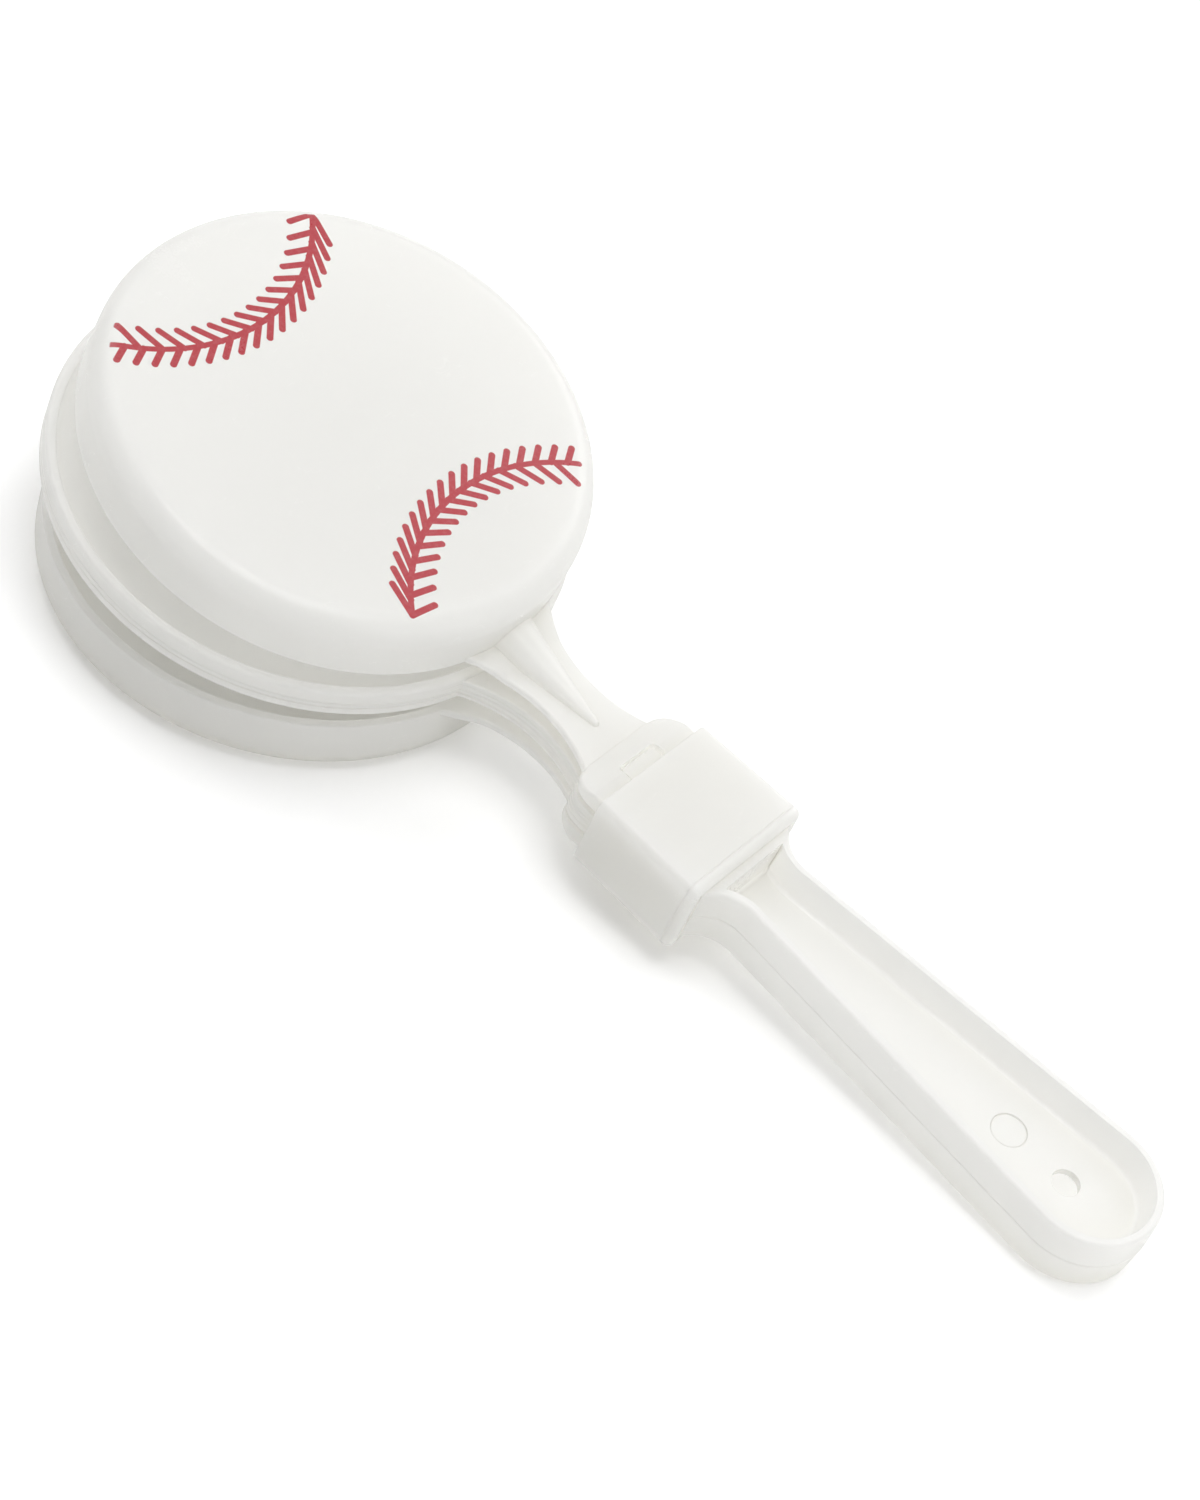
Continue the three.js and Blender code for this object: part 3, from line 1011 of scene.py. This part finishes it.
def makePaddle():
    thin = paddle["neckHalfThickness"]
    stem = neckSlab("centrePaddle", paddle["blockX"] + overrun, -thin, thin, paddle["neckEdge"])
    step = neck["shoulderX"]
    stepEnd = step + paddle["stepLength"]
    sliceAt(stem, (step, stepEnd))
    rise = paddle["rootHalfThickness"] - thin
    for side in (1, -1):
        root = lambda corner: corner.co.x > stepEnd - near and corner.co.z * side > thin / 2
        shiftPart(stem, root, side * rise)
    inside = paddle["discRadius"] - paddle["rimWidth"] / 2
    carve(stem, addDrum("room", paddle["discX"], inside, -clear, clear, roundSteps))
    weld(stem, makeHandle())
    for side in (1, -1):
        groove = addRod("groove", hinge["x"], side * hinge["z"], hinge["grooveRadius"], clear)
        carve(stem, groove)
    weld(stem, makeLugs())
    weld(stem, makeDisc())
    edit(stem)
    tidyMesh()
    stem.name = "centrePaddle"
    finishPiece(stem, "paddle", "centre_paddle", paddlePlastic())
    print("centre paddle:", len(stem.data.polygons), "faces")


# Clappers, drawn closed over the paddle's upper side and then swung open

clapper = {
    "capX": -64.8,
    "capRadius": 40.7,
    "capRimZ": 3.0,
    "capDepth": 10.8,
    "capWall": 1.5,
    "faceRound": 4,
    "faceSteps": 12,
    "hollowSteps": 8,
    "rimRound": 0.35,
    "rimSteps": 3,
    "ringNear": 0.1,  # how close to a ring's radius its corners lie
    "plateZ": 2.2,
    "plateThickness": 1.4,
    "plateEdge": 0.45,
    "bendX": -19.3,
    "bendLength": 4,
    "gussetRadius": 4.5,
    "gussetHeight": 0.85,  # as a share of the half round
    "gussetTip": 0.7,
    "gussetRoot": 0.5,
    "gussetSteps": 72,
    "tipSteps": 32,
    "gussetEnd": -5.7,
    "riser": 0.22,
    "riserLength": 0.02,
    "riserFoot": 0.3,
    "rampLength": 4.3,
    "rootOuter": 5.5,
    "rootInner": 2.6,
    "slotStart": 2.5,
    "slotEnd": 6.9,
    "slotHalfWidth": 4.2,
    "slotCorner": 0.9,
    "slotSteps": 5,
    "roomTop": 13,
}


def ringAt(radius, height):
    # true for an edge of the ring of one radius at one height on the cap
    def wanted(edge):
        for corner in edge.verts:
            reach = math.hypot(corner.co.x - clapper["capX"], corner.co.y)
            if abs(reach - radius) > clapper["ringNear"] or abs(corner.co.z - height) > near:
                return False
        return True

    return wanted


def makeCap():
    rim = clapper["capRimZ"]
    face = rim + clapper["capDepth"]
    wall = clapper["capWall"]
    radius = clapper["capRadius"]
    cap = addDrum("cap", clapper["capX"], radius, rim, face, roundSteps)
    edit(cap)
    pick("FACE", faceAt(rim))
    insetBy(wall)
    pushUp(clapper["capDepth"] - wall)
    tidyMesh()
    edit(cap)
    pick("EDGE", ringAt(radius, face))
    roundOff(clapper["faceRound"], clapper["faceSteps"])
    pick("EDGE", ringAt(radius - wall, face - wall))
    roundOff(clapper["faceRound"] - wall, clapper["hollowSteps"])
    pick("EDGE", lambda edge: ringAt(radius, rim)(edge) or ringAt(radius - wall, rim)(edge))
    roundOff(clapper["rimRound"], clapper["rimSteps"])
    tidyMesh()
    return cap


def makeGusset():
    # a half cone from the skirt to a round point on the plate, a little flattened
    top = clapper["plateZ"] + clapper["plateThickness"]
    startX = clapper["capX"] + clapper["capRadius"] - clapper["capWall"] / 2
    endX = clapper["gussetEnd"]
    tip = clapper["gussetTip"]
    clearSelection()
    bpy.ops.mesh.primitive_cone_add(
        vertices=clapper["gussetSteps"],
        radius1=clapper["gussetRadius"],
        radius2=tip,
        depth=endX - startX,
        location=((startX + endX) / 2, 0, top),
        rotation=(0, math.radians(90), 0),
    )
    bpy.ops.object.transform_apply(location=True, rotation=True)
    gusset = bpy.context.object
    clearSelection()
    steps = clapper["tipSteps"]
    bpy.ops.mesh.primitive_uv_sphere_add(
        segments=steps,
        ring_count=steps // 2,
        radius=tip,
        location=(endX, 0, top),
    )
    bpy.ops.object.transform_apply(location=True)
    weld(gusset, bpy.context.object)
    edit(gusset)
    bpy.ops.mesh.select_all(action="SELECT")
    cut = (0, 0, top - clapper["gussetRoot"])
    bpy.ops.mesh.bisect(plane_co=cut, plane_no=(0, 0, 1), use_fill=True, clear_inner=True)
    bpy.ops.mesh.select_all(action="SELECT")
    bpy.ops.transform.resize(value=(1, 1, clapper["gussetHeight"]), center_override=(startX, 0, top))
    tidyMesh()
    return gusset


def slopeUp(piece, startX, endX, wanted, rise):
    # lifts the corners more and more from startX to endX, and all that lies beyond by the full rise
    way = 1 if endX > startX else -1
    length = abs(endX - startX)
    places = set()
    for corner in piece.data.vertices:
        if wanted(corner) and near < (corner.co.x - startX) * way < length - near:
            places.add(round(corner.co.x, 3))
    for x in sorted(places):
        ring = lambda corner: abs(corner.co.x - x) < 1.1 * outlineDouble and wanted(corner)
        shiftPart(piece, ring, rise * abs(x - startX) / length)
    shiftPart(piece, lambda corner: (corner.co.x - endX) * way > -near and wanted(corner), rise)


def makeStem():
    low = clapper["plateZ"]
    high = low + clapper["plateThickness"]
    step = neck["shoulderX"]
    stepEnd = step + clapper["riserLength"]
    rampX = step + clapper["rampLength"]
    footX = clapper["bendX"] - clapper["bendLength"]
    stem = neckSlab("clapper", hinge["x"], low, high, clapper["plateEdge"])
    sliceAt(stem, (footX, clapper["bendX"], step - clapper["riserFoot"], step, stepEnd, rampX))
    slopeUp(stem, clapper["bendX"], footX, lambda corner: True, clapper["capRimZ"] - low)
    middle = (low + high) / 2
    drop = clapper["rootInner"] - low
    shiftPart(stem, lambda corner: corner.co.x > step - near and corner.co.z < middle, drop)
    # a low riser across the plate, then the ramp up to the root's full height
    riser = clapper["riser"]
    shiftPart(stem, lambda corner: corner.co.x > stepEnd - near and corner.co.z > middle, riser)
    rise = clapper["rootOuter"] - high - riser
    slopeUp(stem, stepEnd, rampX, lambda corner: corner.co.z > middle, rise)
    hollow = clapper["capRadius"] - clapper["capWall"] / 2
    carve(stem, addDrum("room", clapper["capX"], hollow, 0, clapper["roomTop"], roundSteps))
    return stem


def makeSlotTool():
    tool = addBlock("slot", clapper["slotStart"], clapper["slotEnd"], clapper["slotHalfWidth"], 0, clear)
    edit(tool)
    pick("EDGE", runsAlong("z", longEdge))
    roundOff(clapper["slotCorner"], clapper["slotSteps"])
    tidyMesh()
    return tool


def makeClappers():
    front = makeStem()
    weld(front, addRod("bead", hinge["x"], hinge["z"], hinge["beadRadius"], neck["rootHalfWidth"]))
    weld(front, makeCap())
    weld(front, makeGusset())
    carve(front, makeSlotTool())
    edit(front)
    tidyMesh()
    # swing open about the bead
    pivot = Matrix.Translation((hinge["x"], 0, hinge["z"]))
    front.matrix_world = pivot @ Matrix.Rotation(math.radians(hinge["open"]), 4, "Y") @ pivot.inverted()
    focus(front)
    bpy.ops.object.transform_apply(location=True, rotation=True)
    # the rear one is the same moulding turned over
    bpy.ops.object.duplicate(linked=False)
    rear = bpy.context.object
    rear.rotation_euler = (math.radians(180), 0, 0)
    bpy.ops.object.transform_apply(rotation=True)
    front.name = "frontClapper"
    rear.name = "rearClapper"
    finish = clapperPlastic()
    finishPiece(front, "front", "front_clapper", finish)
    finishPiece(rear, "rear", "rear_clapper", finish)
    print("clappers:", len(front.data.polygons), "faces each")


# Collar

collar = {
    "startX": 5.7,
    "length": 20.5,
    "halfWidth": 12.8,
    "halfHeight": 7.25,
    "sideFlare": 0.47,
    "faceFlare": 0.24,
    "sideWall": 1.05,
    "faceWall": 1.3,
    "edgeRound": 1.4,
    "edgeSteps": 6,
    "mouthRound": 0.15,
    "mouthSteps": 2,
    "endRound": 1.3,
    "endSteps": 6,
}


def makeCollar():
    start = collar["startX"]
    end = start + collar["length"]
    wide = collar["halfWidth"]
    tall = collar["halfHeight"]
    sleeve = addBlock("collar", start, end, wide, -tall, tall)
    edit(sleeve)
    pick("VERT", lambda corner: corner.co.x > end - near)
    flare = (1, 1 + collar["sideFlare"] / wide, 1 + collar["faceFlare"] / tall)
    bpy.ops.transform.resize(value=flare, center_override=(end, 0, 0))
    pick("EDGE", runsAlong("x", longEdge))
    roundOff(collar["edgeRound"], collar["edgeSteps"])
    pick("EDGE", lambda edge: all(corner.co.x > end - near for corner in edge.verts))
    roundOff(collar["endRound"], collar["endSteps"])
    pick("EDGE", lambda edge: all(corner.co.x < start + near for corner in edge.verts))
    roundOff(collar["mouthRound"], collar["mouthSteps"])
    tidyMesh()
    room = (wide - collar["sideWall"], tall - collar["faceWall"])
    carve(sleeve, addBlock("room", start - overrun, end + overrun, room[0], -room[1], room[1]))
    edit(sleeve)
    tidyMesh()
    sleeve.name = "sleeve"
    finishPiece(sleeve, "paddle", "collar", collarPlastic())
    print("collar:", len(sleeve.data.polygons), "faces")


makeCamera()
makeRoom()
makeLamps()
makeFloor()
print("studio is set")
makePaddle()
makeCollar()
makeClappers()
clearSelection()
